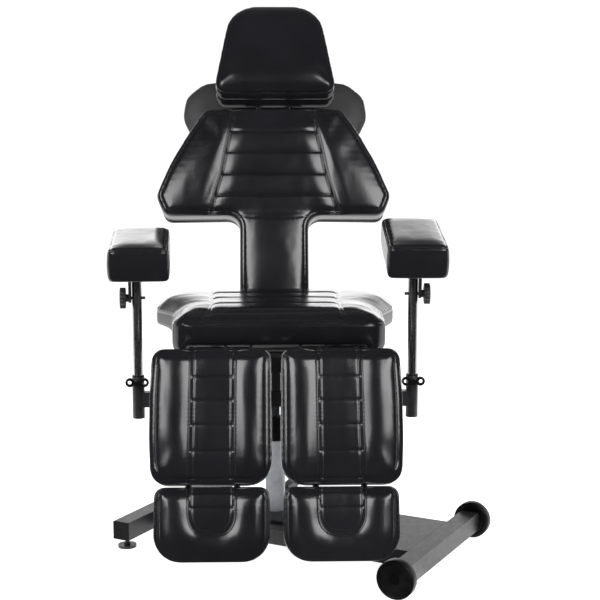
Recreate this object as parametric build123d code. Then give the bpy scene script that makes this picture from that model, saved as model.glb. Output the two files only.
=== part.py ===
from build123d import *
import os
from math import sin, cos, radians, atan2, acos, hypot, sqrt

# ---------------------------------------------------------------- driving dimensions (mm, degrees)
BASE_YAW = -28.9          # the base stands turned under the chair
TUBE = 50.0               # square tube of the base
TUBE_WALL = 3.0
TUBE_Z0 = 27.0            # underside of the base tubes
SPINE_W = 274.0           # wide flat spine
SPINE_Z0 = 33.0           # its underside, higher than that of the crossbeams
FOOT_BEAM_X = -327.0
WHEEL_BEAM_X = 482.0
WHEEL_R = 50.0
WHEEL_W = 28.0
WHEEL_IN = 253.0          # inner face of each wheel from the centre line
LIFT_STROKE = 170.0

RECLINE = 20.0            # backrest and legs lean this much from the vertical
H_Y, H_Z = 280.0, 575.0   # back hinge axis
K_Y, K_Z = -289.0, 585.0  # leg hinge axis
BACK_FRONT = 110.0        # front face of the backrest in front of its hinge plane
CALF_FRONT = 96.0         # front face of the leg pads in front of their hinge plane
SEAT_Z0, SEAT_Z1 = 575.0, 685.0
HEAD_TILT = 29.0
HEAD_Y, HEAD_Z = 415.0, 1250.0   # lower front edge of the headrest
HEAD_T = 105.0

SPR_BACK_R = 130.0        # both pivots of the back gas spring lie this far from the back hinge
SPR_BACK_P = 255.0        # direction of the fixed pivot
SPR_BACK_Q = 55.0         # direction of the moving pivot
SPR_LEG_R = 150.0
SPR_LEG_P = 342.5
SPR_LEG_Q = 272.5
LEG_X = 157.0             # middle of each leg

ARM_X = 360.0             # armrest posts
ARM_Y = -150.0
ARM_PIVOT_Z = 702.0
ARM_TILT_L, ARM_TILT_R = 3.5, 6.7
RIGHT_ARM_UP = 9.0        # the right armrest stands this much higher
PAD_L, PAD_R = -351.0, 362.0
YAW_L, YAW_R = 3.8, -2.1       # the armrests stand turned a little on their posts
SLEEVE_Z0, SLEEVE_Z1 = 383.0, 494.0
SCREW_Z = 482.0
PAD_W = 155.0

nodes = {}


# ---------------------------------------------------------------- helpers
def box(x0, x1, y0, y1, z0, z1):
    return Pos((x0 + x1) / 2, (y0 + y1) / 2, (z0 + z1) / 2) * Box(x1 - x0, y1 - y0, z1 - z0)


def rod(p0, p1, r):
    v = Vector(*p1) - Vector(*p0)
    pl = Plane(origin=p0, z_dir=(v.X, v.Y, v.Z))
    return pl.location * Cylinder(r, v.length, align=(Align.CENTER, Align.CENTER, Align.MIN))


def cx(x0, x1, y, z, r):
    return rod((min(x0, x1), y, z), (max(x0, x1), y, z), r)


def poly_x(x0, x1, pts):
    # polygon in (Y, Z), extruded from x0 to x1
    lo, hi = min(x0, x1), max(x0, x1)
    pl = Plane(origin=(lo, 0, 0), x_dir=(0, 1, 0), z_dir=(1, 0, 0))
    return extrude(pl * make_face(Polyline(*pts, close=True)), amount=hi - lo)


def tangent(a, c, r, away):
    d = hypot(a[0] - c[0], a[1] - c[1])
    t0 = atan2(a[1] - c[1], a[0] - c[0])
    f = acos(r / d)
    best = None
    for s in (-1, 1):
        p = (c[0] + r * cos(t0 + s * f), c[1] + r * sin(t0 + s * f))
        # distance of the far base point from the line a-p, signed by side
        side = (p[0] - a[0]) * (away[1] - a[1]) - (p[1] - a[1]) * (away[0] - a[0])
        mid = (p[0] - a[0]) * (c[1] - a[1]) - (p[1] - a[1]) * (c[0] - a[0])
        if side * mid > 0 and (best is None or abs(side) > abs(best[1])):
            best = (p, side)
    if best is None:
        raise ValueError("no tangent")
    return best[0]


def lug(x0, x1, a, b, c, r, bore=0.0):
    # plate between x0 and x1, from the base line a-b to a round end at c, points in (Y, Z)
    s = poly_x(x0, x1, [a, tangent(a, c, r, b), tangent(b, c, r, a), b]) + cx(x0, x1, c[0], c[1], r)
    # fill between the tangent points and the centre
    s = s + poly_x(x0, x1, [a, tangent(a, c, r, b), c, tangent(b, c, r, a), b])
    if bore:
        s = s - cx(min(x0, x1) - 1, max(x0, x1) + 1, c[0], c[1], bore)
    return s


def tube_box(x0, x1, y0, y1, z0, z1, wall, axis):
    o = box(x0, x1, y0, y1, z0, z1)
    if axis == "x":
        return o - box(x0 - 1, x1 + 1, y0 + wall, y1 - wall, z0 + wall, z1 - wall)
    if axis == "y":
        return o - box(x0 + wall, x1 - wall, y0 - 1, y1 + 1, z0 + wall, z1 - wall)
    return o - box(x0 + wall, x1 - wall, y0 + wall, y1 - wall, z0 - 1, z1 + 1)


def pad(pts, radii, z0, z1, front_r=0.0, back_r=0.0, lean=0.0):
    # closed upholstered form: outline in local (X, Y), thickness z0..z1, rounded front and back edges;
    # with a lean the outline sinks towards the back
    drop = lean * (z1 - z0)
    f = make_face(FilletPolyline(*[(p[0], p[1] - drop, z0) for p in pts], radius=radii, close=True))
    s = extrude(f, amount=(z1 - z0) * sqrt(1 + lean * lean), dir=(0, lean, 1))
    if front_r:
        s = fillet(s.faces().sort_by(Axis.Z)[-1].edges(), front_r)
    if back_r:
        s = fillet(s.faces().sort_by(Axis.Z)[0].edges(), back_r)
    return s


def both(f):
    # the same piece on the right and on the left
    return f(1) + f(-1)


def local(oy, oz, lean):
    return Plane(origin=(0, oy, oz), x_dir=(1, 0, 0),
                 z_dir=(0, -cos(radians(lean)), sin(radians(lean)))).location


BL = local(H_Y, H_Z, RECLINE)      # backrest: X, up along the back, towards the front
LL = local(K_Y, K_Z, RECLINE)      # legs: X, up along the leg (down is negative), towards the front
HL = local(HEAD_Y, HEAD_Z, HEAD_TILT)
BR = Rot(0, 0, BASE_YAW)


def polar(oy, oz, r, deg):
    return (oy + r * cos(radians(deg)), oz + r * sin(radians(deg)))


# ---------------------------------------------------------------- base
tz0, tz1 = TUBE_Z0, TUBE_Z0 + TUBE
fb0, fb1 = FOOT_BEAM_X - TUBE / 2, FOOT_BEAM_X + TUBE / 2
wb0, wb1 = WHEEL_BEAM_X - TUBE / 2, WHEEL_BEAM_X + TUBE / 2

bolt_xy = [(-72, -72), (72, -72), (-72, 72), (72, 72)]
spine = tube_box(fb1, wb0, -SPINE_W / 2, SPINE_W / 2, SPINE_Z0, tz1, TUBE_WALL, "x")
for x, y in bolt_xy:
    spine -= rod((x, y, tz1 - 6), (x, y, tz1 + 6), 6)
nodes["base_spine"] = BR * spine

foot_beam = tube_box(fb0, fb1, -277, 277, tz0, tz1, TUBE_WALL, "y")
for s in (1, -1):
    foot_beam += rod((FOOT_BEAM_X, s * 250, tz0 + 3), (FOOT_BEAM_X, s * 250, tz0 + 15), 10)
    foot_beam -= rod((FOOT_BEAM_X, s * 250, tz0 - 1), (FOOT_BEAM_X, s * 250, tz0 + 16), 5.05)
nodes["foot_crossbeam"] = BR * foot_beam

wheel_beam = tube_box(wb0, wb1, -246, 246, tz0, tz1, TUBE_WALL, "y")
nodes["wheel_crossbeam"] = BR * wheel_beam


def foot_cap(s):
    return box(fb0, fb1, *sorted((s * 277, s * 280)), tz0, tz1) + \
        box(fb0 + 3, fb1 - 3, *sorted((s * 265, s * 277)), tz0 + 3, tz1 - 3)


def wheel_plug(s):
    p = box(wb0, wb1, *sorted((s * 246, s * 249)), tz0, tz1) + \
        box(wb0 + 3, wb1 - 3, *sorted((s * 224, s * 246)), tz0 + 3, tz1 - 3)
    return p - rod((WHEEL_BEAM_X, s * 220, 50), (WHEEL_BEAM_X, s * 252, 50), 6)


nodes["beam_end_caps"] = BR * Compound(children=[foot_cap(1), foot_cap(-1), wheel_plug(1), wheel_plug(-1)])


def axle(s):
    a = rod((WHEEL_BEAM_X, s * 224, 50), (WHEEL_BEAM_X, s * 277, 50), 6)
    return a + rod((WHEEL_BEAM_X, s * 277, 50), (WHEEL_BEAM_X, s * 280.5, 50), 11)


nodes["wheel_axles"] = BR * Compound(children=[axle(1), axle(-1)])


def wheel(s):
    # profile in (radius, depth from the inner face), turned about the axle
    prof = [(6.05, 0), (20, 0), (24, 4), (37, 4), (40, 0), (47, 0), (WHEEL_R, 3), (WHEEL_R, WHEEL_W - 3),
            (47, WHEEL_W), (43, WHEEL_W), (42, WHEEL_W - 2), (39.5, WHEEL_W - 2), (38.5, WHEEL_W - 0.5),
            (12, WHEEL_W - 0.5), (11.5, WHEEL_W - 4), (6.05, WHEEL_W - 4)]
    f = make_face(Polyline(*[(WHEEL_BEAM_X + r, s * (WHEEL_IN + t), WHEEL_R) for r, t in prof], close=True))
    return revolve(f, axis=Axis((WHEEL_BEAM_X, 0, WHEEL_R), (0, 1, 0)), revolution_arc=360)


nodes["near_wheel"] = BR * wheel(-1)
nodes["far_wheel"] = BR * wheel(1)


def level_foot(s):
    f = rod((FOOT_BEAM_X, s * 250, 0), (FOOT_BEAM_X, s * 250, 7), 25)
    f += rod((FOOT_BEAM_X, s * 250, 7), (FOOT_BEAM_X, s * 250, 13), 9)
    return f + rod((FOOT_BEAM_X, s * 250, 13), (FOOT_BEAM_X, s * 250, 52), 5)


nodes["levelling_foot_front"] = BR * level_foot(-1)
nodes["levelling_foot_rear"] = BR * level_foot(1)

# pump
fz = tz1 + 8
flange = box(-92, 92, -92, 92, tz1, fz)
bolts = []
for x, y in bolt_xy:
    flange -= rod((x, y, tz1 - 1), (x, y, fz + 1), 6)
    hexa = extrude(Plane(origin=(x, y, fz)) * RegularPolygon(10.5, 6), amount=8)
    bolts.append(hexa + rod((x, y, fz - 15), (x, y, fz), 6))
nodes["pump_flange"] = BR * flange
nodes["pump_flange_bolts"] = BR * Compound(children=bolts)
nodes["pump_cylinder"] = rod((0, 0, fz), (0, 0, 300), 27) - rod((0, 0, fz + 8), (0, 0, 301), 21)
gland = rod((0, 0, 285), (0, 0, 352), 31) - rod((0, 0, 284), (0, 0, 300), 27.05) + rod((0, 0, 290), (0, 0, 300), 21)
nodes["pump_gland"] = gland - rod((0, 0, 284), (0, 0, 353), 18.05)

# pedal, swung down by the foot at the back of the base
bracket = box(14.5, 20, 44, 82, fz, 139) + box(-20, -14.5, 44, 82, fz, 139) + cx(-20, 20, 63, 125, 5)
nodes["pedal_bracket"] = BR * bracket
arm = poly_x(-12, 12, [(52, 117), (63, 113), (308, 163), (308, 175), (63, 137), (52, 133)])
arm = arm - cx(-13, 13, 63, 125, 5.05)
pedal_pl = Plane(origin=(0, 304, 170), x_dir=(1, 0, 0), z_dir=(0, -0.17, 0.985))
tread = pedal_pl.location * pad([(-45, -28), (45, -28), (45, 28), (-45, 28)], 10, -4, 8)
nodes["pump_pedal"] = BR * (arm + tread)

# ---------------------------------------------------------------- lift
piston = rod((0, 0, 101), (0, 0, 388), 18) + rod((0, 0, 388), (0, 0, 396), 28) + rod((0, 0, 396), (0, 0, 500), 15)
nodes["pump_piston"] = piston

# ---------------------------------------------------------------- turret and seat frame
nodes["turret_hub"] = rod((0, 0, 396), (0, 0, 515), 28) - rod((0, 0, 395), (0, 0, 516), 15.05)
nodes["turret_plate"] = box(-135, 135, -185, 150, 515, 523)
side_rails = []
for s in (1, -1):
    # each rail carries the arm of the back hinge on its rear end
    r = tube_box(*sorted((s * 95, s * 135)), -213, 190, 523, 563, 2.5, "y")
    r += box(*sorted((s * 104, s * 114)), 180, 190, 525.5, 560.5)
    r += lug(s * 106, s * 112, (190, 526), (190, 561), (H_Y, H_Z), 16, 0)
    side_rails.append(r - cx(s * 100, s * 118, H_Y, H_Z, 6))
nodes["seat_side_rails"] = Compound(children=side_rails)
front_rail = tube_box(-135, 135, -253, -213, 523, 563, 2.5, "x")
for a, b in ((60, 66), (124, 130), (-66, -60), (-130, -124)):
    front_rail += lug(a, b, (-253, 526), (-253, 561), (K_Y, K_Z), 12.5, 0)
front_rail -= cx(-140, 140, K_Y, K_Z, 8)
nodes["seat_front_rail"] = front_rail

PB = polar(H_Y, H_Z, SPR_BACK_R, SPR_BACK_P)
rear_rail = tube_box(-95, 95, 150, 190, 523, 563, 2.5, "x")
for s in (1, -1):
    rear_rail += lug(s * 13, s * 19, (155, 523), (188, 523), PB, 12, 0)
rear_rail -= cx(-30, 30, PB[0], PB[1], 5)
nodes["seat_rear_rail"] = rear_rail

board = extrude(make_face(FilletPolyline((-235, -243, 563), (235, -243, 563), (235, 148, 563), (-235, 148, 563),
                                         radius=40, close=True)), amount=12, dir=(0, 0, 1))
nodes["seat_board"] = board

seat_pts = [(-265, -281), (282, -281), (282, -110), (324, 5), (324, 130), (280, 200), (-280, 200), (-324, 130),
            (-324, 5), (-266, -110)]
seat = pad(seat_pts, [56, 56, 70, 60, 50, 50, 50, 50, 60, 70], SEAT_Z0, SEAT_Z1, 36, 16)
# the wings are thinner than the middle
for s in (1, -1):
    seat -= extrude(Plane(origin=(0, 0, SEAT_Z0 - 1)) * make_face(Polyline(
        (s * 282 if s > 0 else -266, -118), (s * 340, -118), (s * 340, 230), (s * 272, 230), (s * 272, -40), close=True)),
        amount=31)
seat = seat - BL * box(-420, 420, -260, 320, -260, BACK_FRONT + 8)
# relief for the leg hinge under the front edge
seat -= poly_x(-238, 238, [(-300, 560), (-300, 602), (-275, 602), (-269, 592), (-243, 568), (-243, 560)])
nodes["seat_cushion"] = seat

# armrest crossbar with its hangers and the two sleeves
bar = tube_box(-350, 350, -162.5, -137.5, 413, 453, 2.5, "x")
for s in (1, -1):
    bar -= rod((s * ARM_X, ARM_Y, SLEEVE_Z0), (s * ARM_X, ARM_Y, SLEEVE_Z1), 16)
for s in (1, -1):
    bar += box(*sorted((s * 62, s * 70)), -180, -120, 453, 515)
    bar += rod((s * ARM_X, ARM_Y, SLEEVE_Z0), (s * ARM_X, ARM_Y, SLEEVE_Z1), 16)
    bar += rod((s * ARM_X, -165, SCREW_Z), (s * ARM_X, -174, SCREW_Z), 8)
for s in (1, -1):
    bar -= rod((s * ARM_X, ARM_Y, SLEEVE_Z0 - 6), (s * ARM_X, ARM_Y, SLEEVE_Z1 + 3), 14.05)
    bar -= rod((s * ARM_X, -155, SCREW_Z), (s * ARM_X, -176, SCREW_Z), 4.05)
nodes["armrest_crossbar"] = bar

# leg hinge axle with its spacer tubes and end collars
ax = [cx(-232, 232, K_Y, K_Z, 8)]
for s in (1, -1):
    for a, b, r in ((66, 106.6, 12), (114.4, 124, 12), (130, 199.6, 12), (207.4, 218, 13)):
        ax.append(cx(s * a, s * b, K_Y, K_Z, r) - cx(s * a - s, s * b + s, K_Y, K_Z, 8))
nodes["leg_hinge_axle"] = Compound(children=ax)

# pins of the back hinge and of the gas springs
PLG = polar(K_Y, K_Z, SPR_LEG_R, SPR_LEG_P)
pins = []
for s in (1, -1):
    pins.append(cx(s * 56, s * 112, H_Y, H_Z, 6) + cx(s * 112, s * 116, H_Y, H_Z, 10))
    pins.append(cx(s * 88, s * 106, H_Y, H_Z, 10) - cx(s * 87, s * 107, H_Y, H_Z, 6))
    pins.append(cx(s * 135, s * 170, PLG[0], PLG[1], 5) + cx(s * 170, s * 173, PLG[0], PLG[1], 8))
pins.append(cx(-22, 22, PB[0], PB[1], 5) + cx(-22, -19, PB[0], PB[1], 8) + cx(19, 22, PB[0], PB[1], 8))
nodes["frame_pins"] = Compound(children=pins)

# ---------------------------------------------------------------- backrest (local X, up, front)
QBL = (SPR_BACK_R * cos(radians(90 - RECLINE - SPR_BACK_Q)), -SPR_BACK_R * sin(radians(90 - RECLINE - SPR_BACK_Q)))
bf = None
for s in (1, -1):
    x0, x1 = sorted((s * 62.5, s * 87.5))
    t = tube_box(x0, x1, -16, 600, -12.5, 12.5, 2, "y")
    bf = t if bf is None else bf + t
for a in (125, 430, 560):
    bf += tube_box(-62.5, 62.5, a - 12.5, a + 12.5, -12.5, 12.5, 2, "x")
for s in (1, -1):
    bf += lug(s * 13, s * 19, (114, -12.5), (136, -12.5), QBL, 10, 0)
    for a in (430, 560):
        bf += box(*sorted((s * 38, s * 52)), a - 11, a + 11, -27, -12.5)
    bf += rod((s * 45, 418, -33.8), (s * 45, 590, -33.8), 10)
    bf += lug(s * 56.5, s * 62.5, (514, 10), (562, 10), (536, -112), 12, 0)
bf += cx(-19, 19, QBL[0], QBL[1], 5)
for s in (1, -1):
    bf -= rod((s * 45, 417, -33.8), (s * 45, 591, -33.8), 7.05)
    bf -= cx(s * 60, s * 90, 0, 0, 6.05)
    bf -= cx(s * 55, s * 64, 536, -112, 5.05)
nodes["back_frame"] = BL * bf

back_pts = [(-100, -20), (100, -20), (100, 291), (318, 289), (343, 350), (302, 450), (248, 548), (200, 619),
            (-200, 619), (-248, 548), (-305, 450), (-345, 351), (-318, 289), (-100, 291)]
back_rad = [12, 12, 38, 30, 34, 500, 60, 34, 34, 60, 500, 34, 30, 38]
nodes["back_cushion"] = BL * pad(back_pts, back_rad, 24.5, BACK_FRONT, 24)
board_pts = [(-97, -16), (97, -16), (97, 291), (317, 288), (341, 350), (300, 450), (246, 546), (199, 616),
             (-199, 616), (-246, 546), (-303, 450), (-343, 351), (-317, 288), (-97, 291)]
nodes["back_board"] = BL * pad(board_pts, [10, 10, 40, 28, 32, 480, 58, 32, 32, 58, 480, 32, 28, 40], 12.5, 24.5)


def spring(p, q, x, r_out, r_bore, end, rod_len, rod_r, head_r, head_l, width):
    # p, q: (Y, Z) of the two eyes; cylinder on p, rod on q; both lie along p-q
    d = Vector(0, q[0] - p[0], q[1] - p[1]).normalized()
    P, Q = Vector(x, p[0], p[1]), Vector(x, q[0], q[1])

    def at(o, s):
        v = o + d * s
        return (v.X, v.Y, v.Z)
    cyl = rod(at(P, 8), at(P, end), r_out) + cx(x - width, x + width, p[0], p[1], 11)
    cyl -= rod(at(P, 18), at(P, end - 8), r_bore)
    cyl -= rod(at(P, end - 9), at(P, end + 1), rod_r + 0.5)
    cyl -= cx(x - width - 1, x + width + 1, p[0], p[1], 5.05)
    rd = rod(at(Q, -rod_len), at(Q, -6), rod_r) + rod(at(Q, -rod_len), at(Q, -rod_len + head_l), head_r)
    rd += cx(x - width, x + width, q[0], q[1], 9.5)
    rd -= cx(x - width - 1, x + width + 1, q[0], q[1], 5.05)
    return cyl, rd


QB = polar(H_Y, H_Z, SPR_BACK_R, SPR_BACK_Q)
nodes["back_spring_cylinder"], nodes["back_spring_rod"] = spring(PB, QB, 0, 12, 8, 166, 160, 5, 7.4, 8, 10)

# ---------------------------------------------------------------- headrest
hr = cx(-63, 63, 719.5, -33.8, 8) + cx(-79, 79, 719.5, -33.8, 8)
for s in (1, -1):
    hr += rod((s * 45, 440, -33.8), (s * 45, 719.5, -33.8), 7)
    hr += cx(s * 73, s * 79, 719.5, -33.8, 12)
nodes["headrest_rods"] = BL * hr
# tilt axis in the headrest's own frame
ty = H_Y + 719.5 * sin(radians(RECLINE)) + 33.8 * cos(radians(RECLINE)) - HEAD_Y
tz = H_Z + 719.5 * cos(radians(RECLINE)) - 33.8 * sin(radians(RECLINE)) - HEAD_Z
ht = radians(HEAD_TILT)
T_S, T_T = ty * sin(ht) + tz * cos(ht), -ty * cos(ht) + tz * sin(ht)
hf = pad([(-100, 22), (100, 22), (100, 200), (-100, 200)], 15, -HEAD_T, -HEAD_T + 6)
for s in (1, -1):
    hf += lug(s * 64, s * 72, (T_S - 28, -HEAD_T), (T_S + 28, -HEAD_T), (T_S, T_T), 13, 8.05)
nodes["headrest_frame"] = HL * hf
head_pts = [(-172, 0), (182, 0), (184, 34), (158, 190), (137, 295), (-127, 295), (-147, 190), (-174, 34)]
nodes["headrest_cushion"] = HL * pad(head_pts, [28, 28, 40, 90, 94, 94, 90, 40], -HEAD_T + 6, 0, 20, lean=0.22)

# ---------------------------------------------------------------- rear arm pad (backrest frame)
rp = pad([(-200, 575), (200, 575), (200, 748), (-200, 748)], 20, -114, -108)
for s in (1, -1):
    rp += box(*sorted((s * 62.8, s * 73)), 536, 650, -124, -114)
    rp += cx(s * 62.8, s * 73, 536, -112, 12)
    rp += cx(s * 53, s * 73, 536, -112, 5)
nodes["rear_pad_frame"] = BL * rp
rear_pts = [(-188, 556), (192, 556), (252, 578), (286, 645), (277, 712), (226, 757), (150, 768), (-148, 768),
            (-221, 757), (-273, 712), (-283, 645), (-249, 578)]
rear_pts = [(x + 4, y) for x, y in rear_pts]
nodes["rear_pad_cushion"] = BL * pad(rear_pts, [40, 40, 45, 60, 50, 70, 40, 40, 70, 50, 60, 45], -108, -60, 16)

# ---------------------------------------------------------------- legs (local X, down is -Y, front)
QLL = (-SPR_LEG_R * cos(radians(SPR_LEG_Q - 250.0)), -SPR_LEG_R * sin(radians(SPR_LEG_Q - 250.0)))
QL = polar(K_Y, K_Z, SPR_LEG_R, SPR_LEG_Q)
for s, side in ((1, "right"), (-1, "left")):
    lf = None
    for x in (97, 217):
        t = rod((s * x, -305, -4), (s * x, -45, -4), 11)
        lf = t if lf is None else lf + t
    for b0, b1 in ((60, 92), (120, 157), (255, 287)):
        lf += box(*sorted((s * 97, s * 217)), -b1, -b0, 1, 9)
    for x0, x1 in ((107, 114), (200, 207)):
        lf += lug(s * x0, s * x1, (-85, -13), (-85, 5), (0, 0), 12.5, 0)
    for x0, x1 in ((138, 144), (170, 176)):
        lf += lug(s * x0, s * x1, (-156, 1), (-122, 1), QLL, 10, 0)
    lf += cx(s * 138, s * 176, QLL[0], QLL[1], 5)
    for x in (97, 217):
        lf -= rod((s * x, -306, -4), (s * x, -44, -4), 8.05)
    lf -= cx(s * 90, s * 220, 0, 0, 8.05)
    # the lugs stay behind the back of the pad
    lf -= box(*sorted((s * 105, s * 209)), -56, -9.6, 8.6, 20)
    nodes["leg_frame_" + side] = LL * lf

    xi, xo = 11.0, 305.0
    cp = [(s * xi, -4), (s * xo, -4), (s * (xo + 5), -130), (s * (xo + 5), -230), (s * (xo - 1), -337),
          (s * xi, -337)]
    cr = [26, 30, 500, 500, 40, 58]
    if s < 0:
        cp, cr = cp[::-1], cr[::-1]
    # the upper back edge leaves room for the hinge
    nodes["calf_cushion_" + side] = LL * (pad(cp, cr, 9, CALF_FRONT, 24) - box(-320, 320, -19, 0, 0, 17))

    nodes["leg_spring_cylinder_" + side], nodes["leg_spring_rod_" + side] = \
        spring(PLG, QL, s * LEG_X, 11, 7, 158, 140, 5, 6.4, 6, 9.5)

    ff = pad([(s * 60, -500), (s * 254, -500), (s * 254, -362), (s * 60, -362)][::s], 18, 28, 36)
    for x in (97, 217):
        ff += rod((s * x, -490, -4), (s * x, -120, -4), 8)
        for b0, b1 in ((365, 395), (455, 485)):
            ff += box(*sorted((s * (x - 9), s * (x + 9))), -b1, -b0, -4, 28)
    nodes["foot_frame_" + side] = LL * ff

    fi, fo = 16.0, 296.0
    fp = [(s * fi, -342), (s * fo, -342), (s * fo, -521), (s * fi, -521)]
    fr = [24, 24, 66, 66]
    if s < 0:
        fp, fr = fp[::-1], fr[::-1]
    nodes["foot_cushion_" + side] = LL * pad(fp, fr, 36, CALF_FRONT, 22, 8)

# ---------------------------------------------------------------- armrests
for s, side, up, pc, yaw, dz, tilt in ((1, "right", RIGHT_ARM_UP, PAD_R, YAW_R, 6.0, ARM_TILT_R),
                                       (-1, "left", 0.0, PAD_L, YAW_L, 0.0, ARM_TILT_L)):
    X = s * ARM_X
    AL = Pos(X, ARM_Y, ARM_PIVOT_Z + up) * Rot(0, 0, yaw) * Rot(tilt, 0, 0) * Pos(-X, 0, 0)
    TURN = Pos(X, ARM_Y, 0) * Rot(0, 0, yaw) * Pos(-X, -ARM_Y, 0)
    liner = rod((X, ARM_Y, SLEEVE_Z0 + 1), (X, ARM_Y, SLEEVE_Z1), 14) + \
        rod((X, ARM_Y, SLEEVE_Z1), (X, ARM_Y, SLEEVE_Z1 + 3), 16)
    nodes["sleeve_liner_" + side] = liner - rod((X, ARM_Y, SLEEVE_Z0), (X, ARM_Y, SLEEVE_Z1 + 4), 12.55)

    pz = ARM_PIVOT_Z + up
    post = rod((X, ARM_Y, 385), (X, ARM_Y, pz + 54), 12.5) - rod((X, ARM_Y, 384), (X, ARM_Y, pz + 50), 10.5)
    post -= cx(X - 14, X + 14, ARM_Y, pz, 4.05)
    nodes["armrest_post_" + side] = TURN * post

    br = box(*sorted((s * 373.9, s * 381.5)), -13, 13, 0, 61 + dz) + cx(s * 373.9, s * 381.5, 0, 0, 13)
    br += box(*sorted((s * 318, s * 396)), -62, 112, 61 + dz, 67 + dz)
    br -= cx(s * 372, s * 383, 0, 0, 4.05)
    nodes["armrest_bracket_" + side] = AL * br

    w = PAD_W / 2
    ap = pad([(pc - w, -140), (pc + w, -140), (pc + w, 220), (pc - w, 220)], 20, 67 + dz, 159 + dz, 14, 8)
    nodes["armrest_cushion_" + side] = AL * ap

    kp = cx(s * 338, s * 388, ARM_Y, pz, 4) + cx(s * 381.8, s * 389, ARM_Y, pz, 10)
    kp += cx(s * 388, s * 404, ARM_Y, pz, 23)
    for i in range(6):
        t = radians(60 * i + 15)
        kp += cx(s * 388.5, s * 403.5, ARM_Y + 19 * cos(t), pz + 19 * sin(t), 8.5)
    nodes["armrest_knob_" + side] = TURN * kp

    zc = SCREW_Z
    sc = rod((X, -164.5, zc), (X, -184, zc), 4) + rod((X, -174.5, zc), (X, -188, zc), 8)
    for d in (1, -1):
        ring = rod((X + d * 18.5, -179, zc + 2), (X + d * 18.5, -184, zc + 2), 12) - \
            rod((X + d * 19.5, -178, zc + 2), (X + d * 19.5, -185, zc + 2), 5)
        sc += ring
    sc = sc + rod((X, -174.5, zc), (X, -188, zc), 8)
    nodes["sleeve_screw_" + side] = sc

# ---------------------------------------------------------------- origin at the bottom centre of the whole chair
bb = Compound(children=[s for n in nodes.values() for s in n.solids()]).bounding_box()
print("local box", bb.min, bb.max)
SHIFT = (-round((bb.min.X + bb.max.X) / 2, 3), -round((bb.min.Y + bb.max.Y) / 2, 3), -round(bb.min.Z, 4))
print("shift", SHIFT)

os.makedirs("parts", exist_ok=True)
for name, shape in nodes.items():
    solids = [Pos(*SHIFT) * s for s in shape.solids()]
    out = solids[0] if len(solids) == 1 else Compound(children=solids)
    export_step(out, "parts/" + name + ".step")
print(len(nodes), "nodes")
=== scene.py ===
from math import radians, sin, cos, pi, hypot, atan2, tan, acos

import bpy
import bmesh
import numpy as np
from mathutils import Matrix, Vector
from mathutils.bvhtree import BVHTree


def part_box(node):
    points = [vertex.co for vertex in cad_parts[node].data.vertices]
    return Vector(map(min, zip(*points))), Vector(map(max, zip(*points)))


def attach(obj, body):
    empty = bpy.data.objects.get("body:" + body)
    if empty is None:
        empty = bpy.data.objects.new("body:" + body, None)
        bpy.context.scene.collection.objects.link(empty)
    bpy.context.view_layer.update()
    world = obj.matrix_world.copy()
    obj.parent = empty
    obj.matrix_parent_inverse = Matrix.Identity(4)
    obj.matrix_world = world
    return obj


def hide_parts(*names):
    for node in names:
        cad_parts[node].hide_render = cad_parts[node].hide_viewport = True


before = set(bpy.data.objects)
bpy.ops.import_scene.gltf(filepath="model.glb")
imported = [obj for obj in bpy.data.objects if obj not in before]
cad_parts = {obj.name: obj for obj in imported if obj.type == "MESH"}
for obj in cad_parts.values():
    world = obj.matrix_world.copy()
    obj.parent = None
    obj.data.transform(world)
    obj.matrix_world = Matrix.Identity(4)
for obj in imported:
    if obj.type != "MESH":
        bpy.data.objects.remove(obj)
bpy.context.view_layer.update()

scene = bpy.context.scene

# ------------------------------------------------------------------ frames of the cushions (metres, row frame)
_lo, _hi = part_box("pump_cylinder")
SH = np.array([(_lo[0] + _hi[0]) / 2, (_lo[1] + _hi[1]) / 2, 0.0])


def lean_frame(y, z, deg):
    c, s = cos(radians(deg)), sin(radians(deg))
    return np.array([0, y, z]) + SH, np.array([[1, 0, 0], [0, s, c], [0, -c, s]])


BL = lean_frame(0.280, 0.575, 20)
LL = lean_frame(-0.289, 0.585, 20)
HL = lean_frame(0.415, 1.250, 29)
SL = (SH.copy(), np.eye(3))
AT = radians(3.5)


def arm_frame(x, up, yaw, raised, tilt):
    AT = radians(tilt)
    c, s = cos(radians(yaw)), sin(radians(yaw))
    ex = np.array([c, s, 0])
    ez = np.array([s * sin(AT), -c * sin(AT), cos(AT)])
    return np.array([x, -0.150, 0.702 + up]) + SH - x * ex + raised * ez, \
        np.array([ex, [-s * cos(AT), c * cos(AT), sin(AT)], ez])


ARM_R = arm_frame(0.360, 0.009, -2.1, 0.006, 6.7)
ARM_L = arm_frame(-0.360, 0.0, 3.8, 0.0, 3.5)


def to_local(P, F):
    return (P - F[0]) @ F[1].T * 1000.0


def to_world(Q, F):
    return (Q / 1000.0) @ F[1] + F[0]


# ------------------------------------------------------------------ camera
cam_data = bpy.data.cameras.new("camera")
cam = bpy.data.objects.new("camera", cam_data)
scene.collection.objects.link(cam)
cam.location = (SH[0] - 0.0230, SH[1] - 3.5816, 1.206)
cam.rotation_euler = (radians(81.53), 0, radians(-1.46))
cam_data.lens = 79.8
cam_data.sensor_width = 36
cam_data.clip_end = 100
scene.camera = cam


# ------------------------------------------------------------------ material helpers
def node_mat(name):
    m = bpy.data.materials.new(name)
    m.use_nodes = True
    nt = m.node_tree
    nt.nodes.clear()
    out = nt.nodes.new("ShaderNodeOutputMaterial")
    b = nt.nodes.new("ShaderNodeBsdfPrincipled")
    nt.links.new(b.outputs[0], out.inputs[0])
    tc = nt.nodes.new("ShaderNodeTexCoord")
    return m, nt, b, tc.outputs["Object"]


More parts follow.
